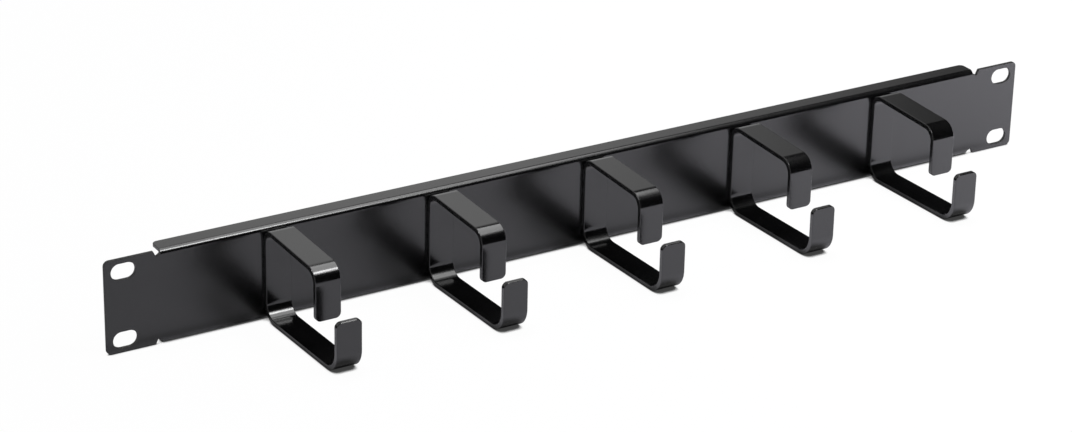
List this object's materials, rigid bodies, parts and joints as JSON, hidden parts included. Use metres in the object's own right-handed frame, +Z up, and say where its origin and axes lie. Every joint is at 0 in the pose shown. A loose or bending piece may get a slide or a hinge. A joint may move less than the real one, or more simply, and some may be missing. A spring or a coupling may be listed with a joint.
{
  "type": "horizontal cable manager",
  "caption": "Folded black steel rack panel, one unit high, with a row of open C-shaped rings that carry patch cables across the front of a 19-inch rack.",
  "frame": {"origin": "centre of the four-slot pattern, on the plane of the ears' back faces, which sit on the rack's rails", "axes": "+X along the panel to the right as seen from the front, +Y into the rack (the rings point to -Y), +Z up"},
  "size_m": [0.4826, 0.0768, 0.0439],
  "materials": {
    "powder_coat": "semi-gloss black powder coat"
  },
  "bodies": {
    "root": {"panel": "powder_coat", "ring_1": "powder_coat", "ring_2": "powder_coat", "ring_3": "powder_coat", "ring_4": "powder_coat", "ring_5": "powder_coat"}
  },
  "joints": []
}
